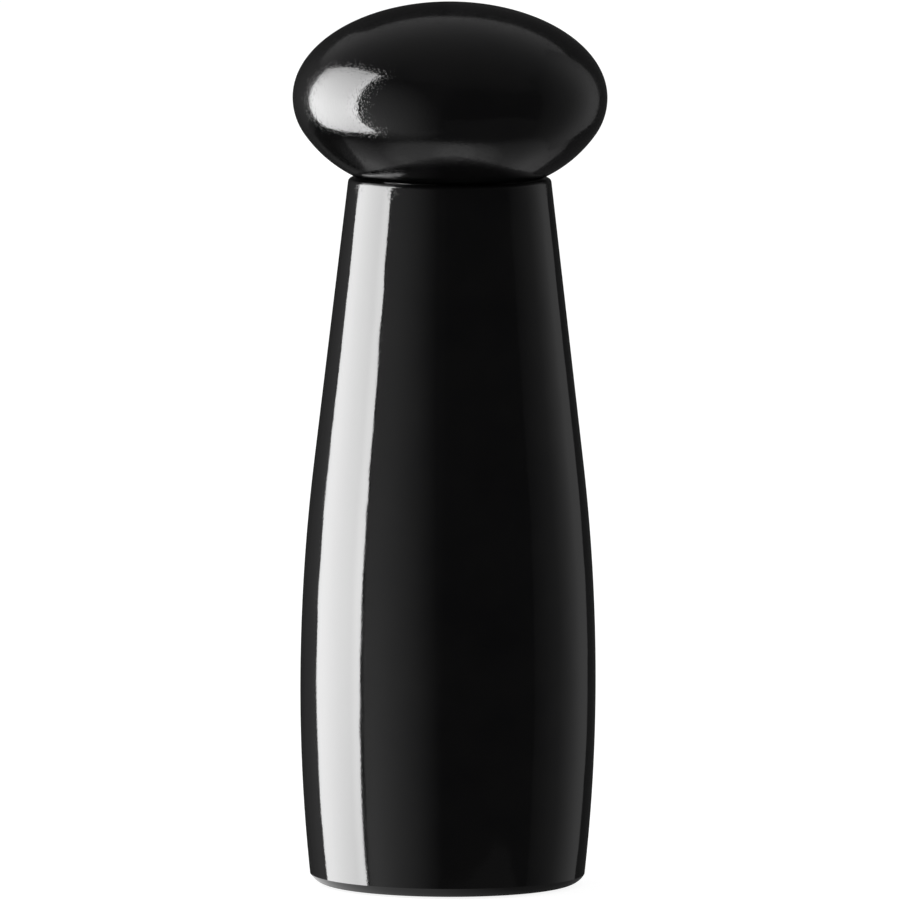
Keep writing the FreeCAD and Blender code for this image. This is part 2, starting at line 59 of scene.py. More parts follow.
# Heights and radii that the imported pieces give
barrel_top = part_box("barrel")[1].z
belly_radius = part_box("barrel")[1].x
crown_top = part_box("head")[1].z
head_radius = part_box("head")[1].x
tenon_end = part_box("head")[0].z
flange_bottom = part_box("grinder_housing")[0].z
housing_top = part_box("bridge")[1].z

# Barrel
belly_height = 40.6 * MM
belly_blend = 22.8 * MM
base_radius = 28.0 * MM
base_edge_height = 2.0 * MM
base_edge_radius = 4.0 * MM
neck_radius = 20.6 * MM
rim_round = 0.9 * MM
chamber_radius = 15.0 * MM
mouth_chamfer = 0.8 * MM
pocket_radius = 16.15 * MM
pocket_top = housing_top + 0.4 * MM
flange_seat_radius = 21.9 * MM
flange_seat_height = flange_bottom + 2.6 * MM
worn_edge = 0.25 * MM

# Head
head_underside = barrel_top + 0.2 * MM
equator_height = barrel_top + 16.4 * MM
shoulder_radius = 12.8 * MM
shoulder_turn = math.radians(35)
head_foot_radius = 19.1 * MM
tenon_radius = chamber_radius - 0.3 * MM
tenon_chamfer = 0.8 * MM
socket_bore_radius = 7.55 * MM
socket_bore_top = 157.7 * MM

# Lacquer, sprayed rougher on the head and the barrel's rim than on the rest of the barrel
lacquer_reach = 1.6 * MM
grainy_above = (barrel_top - 3.4 * MM, barrel_top - 1.6 * MM)
barrel_grain_share = 0.12
nib_levels = (0.59, 0.85)
wave_depth = 0.06 * MM
grain_depth = 0.008 * MM
nib_depth = 0.011 * MM

# Shaft
shaft_width = 6.0 * MM
shaft_turned_radius = 3.9 * MM
shaft_end_chamfer = 0.6 * MM
shaft_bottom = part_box("drive_shaft")[0].z
shaft_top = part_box("drive_shaft")[1].z
clip_groove_radius = 2.85 * MM
clip_groove_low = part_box("shaft_clip")[0].z
clip_groove_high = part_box("shaft_clip")[1].z
stop_groove_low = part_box("stop_clip")[0].z
stop_groove_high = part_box("stop_clip")[1].z
shaft_lead_in = 0.3 * MM
shaft_lead_in_size = 0.9
thread_top = 10.0 * MM
thread_radius = 2.45 * MM
thread_depth = 0.35 * MM
thread_pitch = 0.8 * MM
thread_runout = 0.15 * MM
thread_sink = 0.05 * MM
thread_crest = (0.4, 0.5, 0.9)
stud_chamfer = 0.3 * MM
stud_overlap = 0.2 * MM
stop_groove_depth = 0.2 * MM

# Spring
spring_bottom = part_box("burr_spring")[0].z
spring_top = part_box("burr_spring")[1].z
spring_wire = 0.9 * MM
spring_radius = 4.55 * MM
spring_turns = 3.5
spring_closed_turns = 0.8
spring_coil_gap = 0.02 * MM

# Screws
screw_head_radius = 2.1 * MM
screw_head_height = 1.3 * MM
screw_shank_radius = 1.2 * MM
screw_thread_depth = 0.25 * MM
screw_tip_length = 2.2 * MM
screw_pitch = 1.0 * MM
screw_crest = (0.22, 0.26, 0.48)
screw_thread_foot = screw_head_height + 0.6 * MM
screw_neck_end = screw_head_height + 0.4 * MM
screw_root_start = screw_head_height + 0.7 * MM
screw_edge_inset = 0.2 * MM
screw_edge_drop = 0.1 * MM
screw_edge_depth = 0.2 * MM
recess_span = 2.5 * MM
recess_width = 0.62 * MM
recess_depth = 1.1 * MM
recess_taper = (0.45, 0.7, 1)
recess_overlap = 0.05 * MM
driver_stop = math.radians(50)

# Knob
knob_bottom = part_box("adjusting_knob")[0].z
knob_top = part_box("adjusting_knob")[1].z
knob_radius = 9.0 * MM
flute_count = 12
flute_radius = 2.0 * MM
flute_depth = 0.8 * MM
knob_well_radius = 3.95 * MM
knob_fit = 0.997
knob_land_points = (0.2, 0.5, 0.8)
insert_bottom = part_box("thread_insert")[0].z
insert_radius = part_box("thread_insert")[1].x

# Knob's worn edges: millimetres in from its lower or upper face, and the share of its full width there
knob_lower_edge = [(0.0, 0.930), (0.06, 0.945), (0.20, 0.970), (0.42, 0.990), (0.75, 1.0)]
knob_upper_edge = [(0.75, 1.0), (0.42, 0.990), (0.15, 0.965), (0.0, 0.940)]

# Mouth of the knob's well: millimetres out from its wall and up from the knob's lower face
well_mouth = [(0.5, -1.0), (0.35, 0.0), (0.1, 0.15), (0.0, 0.4)]

# Grip ring
grip_ring_inner = 3.95 * MM
grip_ring_flat = 0.12 * MM
grip_ring_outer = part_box("grip_ring")[1].x
grip_ring_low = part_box("grip_ring")[0].z
grip_ring_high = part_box("grip_ring")[1].z


# Drawing outlines as (radius, height) pairs

def arc_between(start, heading, end, steps):
    """Points of the arc that leaves start along heading and arrives at end; start is left out."""
    start, heading, end = Vector(start), Vector(heading).normalized(), Vector(end)
    chord = end - start
    side = Vector((-heading.y, heading.x))
    if side.dot(chord) < 0:
        side = -side
    radius = chord.length_squared / (2 * chord.dot(side))
    centre = start + side * radius
    sweep = 2 * heading.angle(chord)
    points = []
    for step in range(1, steps + 1):
        turn = sweep * step / steps
        points.append(centre - side * radius * math.cos(turn) + heading * radius * math.sin(turn))
    points[-1] = end
    return [tuple(point) for point in points]


def round_corner(before, corner, after, radius, steps):
    """Points that round a corner between two straight lines."""
    back = (Vector(before) - Vector(corner)).normalized()
    forward = (Vector(after) - Vector(corner)).normalized()
    setback = radius / math.tan(back.angle(forward) / 2)
    start = Vector(corner) + back * setback
    end = Vector(corner) + forward * setback
    return [tuple(start)] + arc_between(start, -back, end, steps)


def barrel_outline():
    foot_run = math.sqrt(2 * base_edge_radius * base_edge_height - base_edge_height ** 2)
    foot = (base_radius - foot_run, 0)
    base_corner = (base_radius, base_edge_height)
    belly = (belly_radius, belly_height)
    blend_corner = Vector((belly_radius, belly_height + belly_blend))
    neck = (neck_radius, barrel_top)
    flank = (Vector(neck) - blend_corner).normalized()
    flank_start = tuple(blend_corner + flank * belly_blend)
    mouth = (chamber_radius + mouth_chamfer, barrel_top)
    lower_belly = arc_between(belly, (0, -1), base_corner, steps=24)
    outline = [foot] + arc_between(foot, (1, 0), base_corner, steps=12)
    outline += lower_belly[-2::-1] + [belly]
    outline += arc_between(belly, (0, 1), flank_start, steps=24)
    outline += round_corner(flank_start, neck, mouth, rim_round, steps=8)
    outline += round_corner(neck, mouth, (chamber_radius, barrel_top - mouth_chamfer), worn_edge, steps=3)
    outline += [
        (chamber_radius, barrel_top - mouth_chamfer),
        (chamber_radius, barrel_top - lacquer_reach),
        (chamber_radius, pocket_top),
        (pocket_radius, pocket_top),
        (pocket_radius, flange_seat_height),
        (flange_seat_radius, flange_seat_height),
        (flange_seat_radius, worn_edge),
        (flange_seat_radius + worn_edge, 0),
        foot,
    ]
    return outline


def head_outline():
    equator = (head_radius, equator_height)
    shoulder_centre = Vector((head_radius - shoulder_radius, equator_height))
    shoulder_reach = Vector((math.cos(shoulder_turn), -math.sin(shoulder_turn))) * shoulder_radius
    shoulder_end = tuple(shoulder_centre + shoulder_reach)
    foot = (head_foot_radius, head_underside)
    crown_steps = 64
    outline = []
    for step in range(crown_steps):
        turn = math.pi / 2 * step / crown_steps
        rise = (crown_top - equator_height) * math.cos(turn)
        outline.append((head_radius * math.sin(turn), equator_height + rise))
    outline += [equator] + arc_between(equator, (0, -1), shoulder_end, steps=20)
    leaving = (-math.sin(shoulder_turn), -math.cos(shoulder_turn))
    flank = arc_between(shoulder_end, leaving, foot, steps=24)
    outline += flank[:-1]
    outline += round_corner(flank[-2], foot, (tenon_radius, head_underside), worn_edge, steps=4)
    outline += [
        (tenon_radius, head_underside),
        (tenon_radius, head_underside - lacquer_reach),
        (tenon_radius, tenon_end + tenon_chamfer),
        (tenon_radius - tenon_chamfer, tenon_end),
        (socket_bore_radius, tenon_end),
        (socket_bore_radius, socket_bore_top),
        (0, socket_bore_top),
    ]
    return outline


# Modelling by hand

def begin_piece(name, add_primitive, **settings):
    """Adds a primitive with nothing else selected and opens it in edit mode."""
    bpy.ops.object.select_all(action="DESELECT")
    add_primitive(**settings)
    piece = bpy.context.active_object
    piece.name = name
    piece.data.name = name
    bpy.ops.object.mode_set(mode="EDIT")
    bpy.ops.mesh.select_all(action="SELECT")
    return piece


def end_piece(piece, smooth_below=SMOOTH_BELOW):
    bpy.ops.object.mode_set(mode="OBJECT")
    bpy.ops.object.shade_smooth_by_angle(angle=math.radians(smooth_below))
    return piece


def close_skin():
    """Merges doubled points and turns all faces outwards."""
    bpy.ops.mesh.select_all(action="SELECT")
    bpy.ops.mesh.remove_doubles(threshold=MERGE_GAP)
    bpy.ops.mesh.normals_make_consistent(inside=False)


def pick(piece, is_wanted):
    """Opens a piece for shaping with only the wanted points selected."""
    bpy.ops.object.mode_set(mode="EDIT")
    bpy.ops.mesh.select_mode(type="VERT")
    bpy.ops.mesh.select_all(action="DESELECT")
    bpy.ops.object.mode_set(mode="OBJECT")
    for vertex in piece.data.vertices:
        vertex.select = is_wanted(vertex.co)
    bpy.ops.object.mode_set(mode="EDIT")


def trace(name, points):
    """Starts a piece as one point and draws it out through the others."""
    piece = begin_piece(name, bpy.ops.mesh.primitive_plane_add, size=MM)
    bpy.ops.mesh.merge(type="CENTER")
    bpy.ops.transform.translate(value=points[0])
    for before, after in zip(points, points[1:]):
        step = Vector(after) - Vector(before)
        bpy.ops.mesh.extrude_vertices_move(TRANSFORM_OT_translate={"value": step})
    bpy.ops.mesh.select_all(action="SELECT")
    return piece


def turn_on_lathe(name, outline, steps=LATHE_STEPS, smooth_below=SMOOTH_BELOW):
    """Spins an outline of (radius, height) pairs round the mill's axis."""
    piece = trace(name, [(radius, 0, height) for radius, height in outline])
    bpy.ops.mesh.spin(steps=steps, angle=FULL_TURN, center=(0, 0, 0), axis=(0, 0, 1))
    close_skin()
    return end_piece(piece, smooth_below)


def draw_bar(name, section, stations):
    """Fills a flat section and draws it up through (height, size) stations."""
    foot, foot_size = stations[0]
    points = [(x * foot_size, y * foot_size, foot) for x, y in section]
    piece = trace(name, points + points[:1])
    bpy.ops.mesh.remove_doubles(threshold=MERGE_GAP)
    bpy.ops.mesh.edge_face_add()
    for (low, size), (high, next_size) in zip(stations, stations[1:]):
        bpy.ops.mesh.extrude_region_move(TRANSFORM_OT_translate={"value": (0, 0, high - low)})
        ratio = next_size / size
        bpy.ops.transform.resize(value=(ratio, ratio, 1), center_override=(0, 0, high))
    close_skin()
    return end_piece(piece)


def thread_ridge(root, crest, foot, pitch, shares):
    """Section of a ridge whose crest starts and ends, and whose foot ends, at shares of the pitch."""
    crest_start, crest_end, foot_end = shares
    return [
        (root - thread_sink, foot),
        (crest, foot + crest_start * pitch),
        (crest, foot + crest_end * pitch),
        (root - thread_sink, foot + foot_end * pitch),
    ]


def cut_thread(name, ridge, pitch, turns, steps_in_turn):
    """Winds the section of a thread's ridge, in (radius, height) pairs, up the mill's axis."""
    points = [(radius, 0, height) for radius, height in ridge]
    piece = trace(name, points + points[:1])
    bpy.ops.mesh.remove_doubles(threshold=MERGE_GAP)
    bpy.ops.object.mode_set(mode="OBJECT")
    winding = piece.modifiers.new("winding", "SCREW")
    winding.angle = FULL_TURN * turns
    winding.screw_offset = pitch * turns
    winding.steps = round(steps_in_turn * turns)
    winding.render_steps = winding.steps
    winding.use_smooth_shade = False
    bpy.ops.object.modifier_apply(modifier="winding")
    bpy.ops.object.mode_set(mode="EDIT")
    bpy.ops.mesh.select_all(action="SELECT")
    bpy.ops.mesh.fill_holes(sides=0)
    close_skin()
    return end_piece(piece)


def take_up(piece):
    """Selects one piece alone and makes it the active one."""
    bpy.ops.object.select_all(action="DESELECT")
    piece.select_set(True)
    bpy.context.view_layer.objects.active = piece


def join_to(piece, *others):
    take_up(piece)
    for other in others:
        other.select_set(True)
    bpy.ops.object.join()
    return piece


def carve(piece, cutter):
    """Takes the cutter's shape out of a piece."""
    take_up(piece)
    cut = piece.modifiers.new("cut", "BOOLEAN")
    cut.operation = "DIFFERENCE"
    cut.solver = "EXACT"
    cut.object = cutter
    bpy.ops.object.modifier_apply(modifier="cut")
    bpy.data.objects.remove(cutter)
    bpy.ops.object.shade_smooth_by_angle(angle=math.radians(SMOOTH_BELOW))
    return piece


def seat(piece, body, node, slot, *finishes):
    """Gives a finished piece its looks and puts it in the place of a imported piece."""
    dress(piece, *finishes)
    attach(piece, body)
    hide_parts(node)


# Building finishes from nodes

def add_node(tree, kind, values=None, **settings):
    made = tree.nodes.new(kind)
    for name, value in settings.items():
        setattr(made, name, value)
    for name, value in (values or {}).items():
        made.inputs[name].default_value = value
    return made


def start_finish(name):
    finish = bpy.data.materials.new(name)
    finish.use_nodes = True
    tree = finish.node_tree
    shader = tree.nodes["Principled BSDF"]
    place = add_node(tree, "ShaderNodeTexCoord").outputs["Object"]
    return finish, tree, shader, place


def speckle(tree, place, per_metre, detail=2.0, stretch=(1, 1, 1)):
    """Noise with so many cells to the metre, drawn out along the axes where stretch is small."""
    fitted = add_node(tree, "ShaderNodeMapping", {"Scale": stretch})
    noise = add_node(tree, "ShaderNodeTexNoise", {"Scale": per_metre, "Detail": detail})
    tree.links.new(place, fitted.inputs["Vector"])
    tree.links.new(fitted.outputs["Vector"], noise.inputs["Vector"])
    return noise.outputs["Fac"]


def spread_to(tree, share, low, high, target):
    """Feeds a socket with a share stretched from its usual middle range to low..high."""
    fitted = add_node(tree, "ShaderNodeMapRange", {
        "From Min": 0.3, "From Max": 0.7, "To Min": low, "To Max": high})
    tree.links.new(share, fitted.inputs["Value"])
    tree.links.new(fitted.outputs["Result"], target)


def tint(tree, share, stops, target=None):
    """Colours a share by (position, colour) stops."""
    ramp = add_node(tree, "ShaderNodeValToRGB")
    points = ramp.color_ramp.elements
    while len(points) < len(stops):
        points.new(0.5)
    for point, (position, colour) in zip(points, stops):
        point.position = position
        point.color = (*colour, 1)
    tree.links.new(share, ramp.inputs["Fac"])
    if target:
        tree.links.new(ramp.outputs["Color"], target)
    return ramp.outputs["Color"]


def climb(tree, place, low, high, least):
    """Share that grows from least to one between two heights."""
    parts = add_node(tree, "ShaderNodeSeparateXYZ")
    fitted = add_node(tree, "ShaderNodeMapRange", {"From Min": low, "From Max": high, "To Min": least})
    tree.links.new(place, parts.inputs["Vector"])
    tree.links.new(parts.outputs["Z"], fitted.inputs["Value"])
    return fitted.outputs["Result"]


def peaks(tree, share, low, high):
    """Only what stands out of a share between two levels, as small nibs on a smooth face."""
    fitted = add_node(tree, "ShaderNodeMapRange", {"From Min": low, "From Max": high})
    tree.links.new(share, fitted.inputs["Value"])
    return fitted.outputs["Result"]


def emboss(tree, shader, heights):
    """Chains bumps, each given as its height share, its depth in metres and a strength where it varies."""
    normal = None
    for height, depth, *strengths in heights:
        bump = add_node(tree, "ShaderNodeBump", {"Strength": 1.0, "Distance": depth})
        tree.links.new(height, bump.inputs["Height"])
        for strength in strengths:
            tree.links.new(strength, bump.inputs["Strength"])
        if normal:
            tree.links.new(normal, bump.inputs["Normal"])
        normal = bump.outputs["Normal"]
    tree.links.new(normal, shader.inputs["Normal"])


def gloss_black_lacquer():
    finish, tree, shader, place = start_finish("gloss_black_lacquer")
    shader.inputs["IOR"].default_value = 1.5
    tint(tree, speckle(tree, place, 90), [
        (0.3, (0.0030, 0.0030, 0.0033)),
        (0.7, (0.0044, 0.0043, 0.0044)),
    ], shader.inputs["Base Color"])
    spread_to(tree, speckle(tree, place, 140, detail=4), 0.045, 0.075, shader.inputs["Roughness"])
    grain = speckle(tree, place, 3400, detail=0)
    strength = climb(tree, place, *grainy_above, barrel_grain_share)
    emboss(tree, shader, [
        (speckle(tree, place, 110, detail=1), wave_depth),
        (grain, grain_depth, strength),
        (peaks(tree, grain, *nib_levels), nib_depth, strength),
    ])
    return finish


def bare_beech():
    finish, tree, shader, place = start_finish("bare_beech")
    fibre = speckle(tree, place, 420, detail=6, stretch=(1, 1, 0.06))
    tint(tree, fibre, [
        (0.30, (0.36, 0.20, 0.095)),
        (0.48, (0.52, 0.32, 0.165)),
        (0.70, (0.63, 0.42, 0.24)),
    ], shader.inputs["Base Color"])
    spread_to(tree, fibre, 0.62, 0.48, shader.inputs["Roughness"])
    emboss(tree, shader, [
        (fibre, 0.03 * MM),
        (speckle(tree, place, 900, detail=2, stretch=(0.05, 0.05, 1)), 0.02 * MM),
    ])
    return finish


def black_moulding():
    finish, tree, shader, place = start_finish("black_moulding")
    tint(tree, speckle(tree, place, 700), [
        (0.3, (0.012, 0.012, 0.013)),
        (0.7, (0.018, 0.018, 0.019)),
    ], shader.inputs["Base Color"])
    spread_to(tree, speckle(tree, place, 2500, detail=3), 0.36, 0.50, shader.inputs["Roughness"])
    emboss(tree, shader, [(speckle(tree, place, 4000, detail=2), 0.012 * MM)])
    return finish


def pale_moulding():
    finish, tree, shader, place = start_finish("pale_moulding")
    shader.inputs["Subsurface Weight"].default_value = 0.1
    shader.inputs["Subsurface Radius"].default_value = (0.8 * MM, 0.7 * MM, 0.6 * MM)
    tint(tree, speckle(tree, place, 500), [
        (0.3, (0.66, 0.64, 0.58)),
        (0.7, (0.74, 0.72, 0.67)),
    ], shader.inputs["Base Color"])
    spread_to(tree, speckle(tree, place, 2200, detail=3), 0.30, 0.42, shader.inputs["Roughness"])
    return finish


def burr_ceramic():
    finish, tree, shader, place = start_finish("burr_ceramic")
    tint(tree, speckle(tree, place, 1100, detail=4), [
        (0.3, (0.70, 0.68, 0.62)),
        (0.7, (0.80, 0.78, 0.73)),
    ], shader.inputs["Base Color"])
    spread_to(tree, speckle(tree, place, 3000, detail=3), 0.26, 0.42, shader.inputs["Roughness"])
    emboss(tree, shader, [(speckle(tree, place, 5000, detail=3), 0.008 * MM)])
    return finish


def metal(name, colour, roughness, brush_stretch):
    """Bare metal with fine brush marks drawn out where brush_stretch is small."""
    finish, tree, shader, place = start_finish(name)
    shader.inputs["Metallic"].default_value = 1.0
    marks = speckle(tree, place, 2600, detail=3, stretch=brush_stretch)
    dark = tuple(0.88 * part for part in colour)
    tint(tree, marks, [(0.3, dark), (0.7, colour)], shader.inputs["Base Color"])
    spread_to(tree, marks, 0.8 * roughness, 1.2 * roughness, shader.inputs["Roughness"])
    emboss(tree, shader, [(marks, 0.004 * MM)])
    return finish


def ring_rubber():
    finish, tree, shader, place = start_finish("ring_rubber")
    tint(tree, speckle(tree, place, 1800, detail=3), [
        (0.3, (0.016, 0.016, 0.016)),
        (0.7, (0.028, 0.028, 0.027)),
    ], shader.inputs["Base Color"])
    spread_to(tree, speckle(tree, place, 3000, detail=3), 0.62, 0.78, shader.inputs["Roughness"])
    emboss(tree, shader, [(speckle(tree, place, 3500, detail=2), 0.015 * MM)])
    return finish


def dress(piece, *finishes):
    piece.data.materials.clear()
    for finish in finishes:
        piece.data.materials.append(finish)


lacquer = gloss_black_lacquer()
beech = bare_beech()
black_acetal = black_moulding()
pale_acetal = pale_moulding()
ceramic = burr_ceramic()
alloy = metal("brushed_alloy", (0.78, 0.78, 0.79), roughness=0.30, brush_stretch=(1, 1, 0.02))
steel = metal("bright_steel", (0.62, 0.61, 0.60), roughness=0.24, brush_stretch=(1, 1, 1))
brass = metal("insert_brass", (0.76, 0.56, 0.24), roughness=0.28, brush_stretch=(1, 1, 0.3))
rubber = ring_rubber()

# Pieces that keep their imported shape
node_finishes = {
    "drive_socket": black_acetal,
    "socket_cap": black_acetal,
    "shaft_clip": steel,
    "stop_clip": steel,
    "thrust_washer": steel,
    "spring_washer": steel,
    "shaft_bush": pale_acetal,
    "bridge": black_acetal,
    "grinder_housing": black_acetal,
    "outer_burr": ceramic,
    "inner_burr": ceramic,
    "burr_carrier": black_acetal,
    "thread_insert": brass,
}
for node_name, finish in node_finishes.items():
    dress(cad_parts[node_name], finish)


# Turned wooden pieces

def bare_inside(piece, is_bare):
    """Puts the second finish on the faces that the lacquer doesn't reach."""
    for face in piece.data.polygons:
        radius = math.hypot(face.center.x, face.center.y)
        face.material_index = 1 if is_bare(radius, face.center.z) else 0


def make_barrel():
    barrel = turn_on_lathe("turned_barrel", barrel_outline(), smooth_below=20)
    seat(barrel, "mill_body", "barrel", "lacquered_wood", lacquer, beech)
    bare_inside(barrel, lambda radius, height: height < barrel_top - lacquer_reach
                and (radius < chamber_radius + worn_edge
                     or (radius < flange_seat_radius + worn_edge and height < pocket_top)))


def make_head():
    head = turn_on_lathe("turned_head", head_outline())
    seat(head, "head", "head", "lacquered_wood", lacquer, beech)
    bare_inside(head, lambda radius, height: radius < tenon_radius + worn_edge
                and (height < head_underside - lacquer_reach
                     or (radius < socket_bore_radius + MM and height < socket_bore_top + MM)))


# Shaft

def shaft_section():
    """Square with its four corners turned round."""
    corner = math.acos(shaft_width / 2 / shaft_turned_radius)
    arc_steps = 4
    points = []
    for side in range(4):
        for step in range(arc_steps + 1):
            turn = corner + (math.pi / 2 - 2 * corner) * step / arc_steps + side * math.pi / 2
            points.append((shaft_turned_radius * math.cos(turn), shaft_turned_radius * math.sin(turn)))
    return points


def make_shaft():
    neck_size = clip_groove_radius / shaft_turned_radius
    end_size = 1 - shaft_end_chamfer / shaft_turned_radius
    shaft = draw_bar("drive_shaft_bar", shaft_section(), [
        (thread_top, shaft_lead_in_size),
        (thread_top + shaft_lead_in, 1),
        (clip_groove_low, 1),
        (clip_groove_low, neck_size),
        (clip_groove_high, neck_size),
        (clip_groove_high, 1),
        (shaft_top - shaft_end_chamfer, 1),
        (shaft_top, end_size),
    ])
    root = thread_radius - thread_depth
    stud = turn_on_lathe("threaded_end", [
        (0, shaft_bottom),
        (root - stud_chamfer, shaft_bottom),
        (root, shaft_bottom + stud_chamfer),
        (root, stop_groove_low),
        (root - stop_groove_depth, stop_groove_low),
        (root - stop_groove_depth, stop_groove_high),
        (root, stop_groove_high),
        (root, thread_top + stud_overlap),
        (0, thread_top + stud_overlap),
    ], steps=64)
    thread_foot = stop_groove_high + thread_runout
    ridge = thread_ridge(root, thread_radius, thread_foot, thread_pitch, thread_crest)
    turns = (thread_top - thread_foot) / thread_pitch - 1
    thread = cut_thread("shaft_thread", ridge, thread_pitch, turns, steps_in_turn=48)
    seat(join_to(shaft, stud, thread), "spindle", "drive_shaft", "shaft_alloy", alloy)


# Spring, wound close at both ends

def make_spring():
    open_turns = spring_turns - 2 * spring_closed_turns
    closed_pitch = spring_wire + spring_coil_gap
    low = spring_bottom + spring_wire / 2
    high = spring_top - spring_wire / 2
    open_pitch = (high - low - 2 * spring_closed_turns * closed_pitch) / open_turns
    steps_in_turn = 48
    height = low
    points = []
    steps = round(spring_turns * steps_in_turn)
    for step in range(steps + 1):
        turn = step / steps_in_turn
        is_open = spring_closed_turns < turn <= spring_closed_turns + open_turns
        if step:
            height += (open_pitch if is_open else closed_pitch) / steps_in_turn
        angle = turn * FULL_TURN
        points.append((spring_radius * math.cos(angle), spring_radius * math.sin(angle), height))
    spring = trace("wound_spring", points)
    bpy.ops.mesh.vertices_smooth(factor=0.5, repeat=6, xaxis=False, yaxis=False, zaxis=True)
    bpy.ops.object.mode_set(mode="OBJECT")
    bpy.ops.object.convert(target="CURVE")
    spring = bpy.context.active_object
    spring.data.bevel_depth = spring_wire / 2
    spring.data.bevel_resolution = 4
    spring.data.use_fill_caps = True
    bpy.ops.object.convert(target="MESH")
    spring = bpy.context.active_object
    bpy.ops.object.shade_smooth_by_angle(angle=math.radians(SMOOTH_BELOW))
    dress(spring, steel)
    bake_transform(spring)
    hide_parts("burr_spring")


# Countersunk screws with a cross recess

def recess_bar(turn):
    """Half of the cross that a driver fits, wide at the screw's face and narrow inside."""
    bar = begin_piece("recess_bar", bpy.ops.mesh.primitive_cube_add, size=1)
    bpy.ops.transform.resize(value=(recess_span, recess_width, recess_depth))
    bpy.ops.transform.translate(value=(0, 0, recess_depth / 2))
    bpy.ops.object.mode_set(mode="OBJECT")
    pick(bar, lambda point: point.z > recess_depth / 2)
    bpy.ops.transform.resize(value=recess_taper)
    bpy.ops.mesh.select_all(action="SELECT")
    bpy.ops.transform.translate(value=(0, 0, -recess_overlap))
    bpy.ops.object.mode_set(mode="OBJECT")
    bar.rotation_euler.z = turn
    bpy.ops.object.transform_apply(location=False, rotation=True, scale=False)
    return bar


def make_screw(name, length):
    """Wood screw that stands on its head at the origin."""
    root = screw_shank_radius - screw_thread_depth
    screw = turn_on_lathe(name, [
        (0, 0),
        (screw_head_radius - screw_edge_inset, 0),
        (screw_head_radius, screw_edge_drop),
        (screw_head_radius, screw_edge_depth),
        (screw_shank_radius, screw_head_height),
        (screw_shank_radius, screw_neck_end),
        (root, screw_root_start),
        (root, length - screw_tip_length),
        (0, length),
    ], steps=48)
    carve(screw, recess_bar(0))
    carve(screw, recess_bar(math.pi / 2))
    ridge = thread_ridge(root, screw_shank_radius, screw_thread_foot, screw_pitch, screw_crest)
    turns = (length - screw_tip_length - screw_thread_foot) / screw_pitch - 0.5
    return join_to(screw, cut_thread("screw_thread", ridge, screw_pitch, turns, steps_in_turn=24))


def place_screws(name, node, body, length, circle, height, angles):
    """Sets copies of one screw round the mill, each turned to where its driver left it."""
    model = make_screw(name, length)
    dress(model, steel)
    for number, angle in enumerate(angles, 1):
        take_up(model)
        bpy.ops.object.duplicate()
        screw = bpy.context.active_object
        screw.name = name + "_" + str(number)
        screw.data.name = screw.name
        turn = math.radians(angle)
        screw.location = (circle * math.cos(turn), circle * math.sin(turn), height)
        screw.rotation_euler.z = number * driver_stop
        bpy.ops.object.transform_apply(location=True, rotation=True, scale=True)
        seat(screw, body, node, "bright_steel", steel)
    bpy.data.objects.remove(model)


# Knob that sets the grind

def knob_section():
    """Round outline with evenly spaced hollows for the fingertips."""
    flute_centre = knob_radius + flute_radius - flute_depth
    reach = (knob_radius ** 2 + flute_centre ** 2 - flute_radius ** 2) / (2 * flute_centre)
    half_hollow = math.acos(reach / knob_radius)
    half_sweep = math.asin(knob_radius * math.sin(half_hollow) / flute_radius)
    pitch = FULL_TURN / flute_count
    half_steps = 4
    points = []
    for flute in range(flute_count):
        middle = flute * pitch
        for step in range(-half_steps, half_steps + 1):
            sweep = half_sweep * step / half_steps
            radius = Vector((flute_centre - flute_radius * math.cos(sweep), flute_radius * math.sin(sweep)))
            points.append((radius.length, middle + math.atan2(radius.y, radius.x)))
        land = pitch - 2 * half_hollow
        for share in knob_land_points:
            points.append((knob_radius, middle + half_hollow + land * share))
    fitted = [(knob_fit * radius, turn) for radius, turn in points]
    return [(radius * math.cos(turn), radius * math.sin(turn)) for radius, turn in fitted]


def make_knob():
    stations = [(knob_bottom + inset * MM, size) for inset, size in knob_lower_edge]
    stations += [(knob_top - inset * MM, size) for inset, size in knob_upper_edge]
    knob = draw_bar("fluted_knob", knob_section(), stations)
    mouth = [(knob_well_radius + flare * MM, knob_bottom + rise * MM) for flare, rise in well_mouth]
    well = turn_on_lathe("knob_well", [(0, knob_bottom - MM)] + mouth + [
        (knob_well_radius, insert_bottom),
        (insert_radius, insert_bottom),
        (insert_radius, knob_top + MM),
        (0, knob_top + MM),
    ], steps=96)
    seat(carve(knob, well), "adjuster", "adjusting_knob", "black_acetal", black_acetal)


# Rubber ring that grips the shaft, pressed a little flat where it touches

def make_grip_ring():
    middle = (grip_ring_inner + grip_ring_outer) / 2
    half_width = (grip_ring_outer - grip_ring_inner) / 2
    level = (grip_ring_low + grip_ring_high) / 2
    section_steps = 24
    outline = []
    for step in range(section_steps):
        turn = FULL_TURN * step / section_steps
        radius = max(middle + half_width * math.cos(turn), grip_ring_inner + grip_ring_flat)
        outline.append((radius, level + half_width * math.sin(turn)))
    ring = turn_on_lathe("grip_ring_round", outline + outline[:1], steps=96)
    seat(ring, "head", "grip_ring", "ring_rubber", rubber)


make_barrel()
make_head()
make_shaft()
make_spring()
place_screws("housing_screw", "housing_screws", "mill_body", length=12.0 * MM, circle=18.8 * MM,
             height=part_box("housing_screws")[0].z, angles=(30, 150, 270))
place_screws("socket_screw", "socket_screws", "head", length=8.0 * MM, circle=10.0 * MM,
             height=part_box("socket_screws")[0].z, angles=(0, 180))
make_knob()
make_grip_ring()


# Studio: card edges are (across, up) and patches of light are spots on a card's own axes, in metres

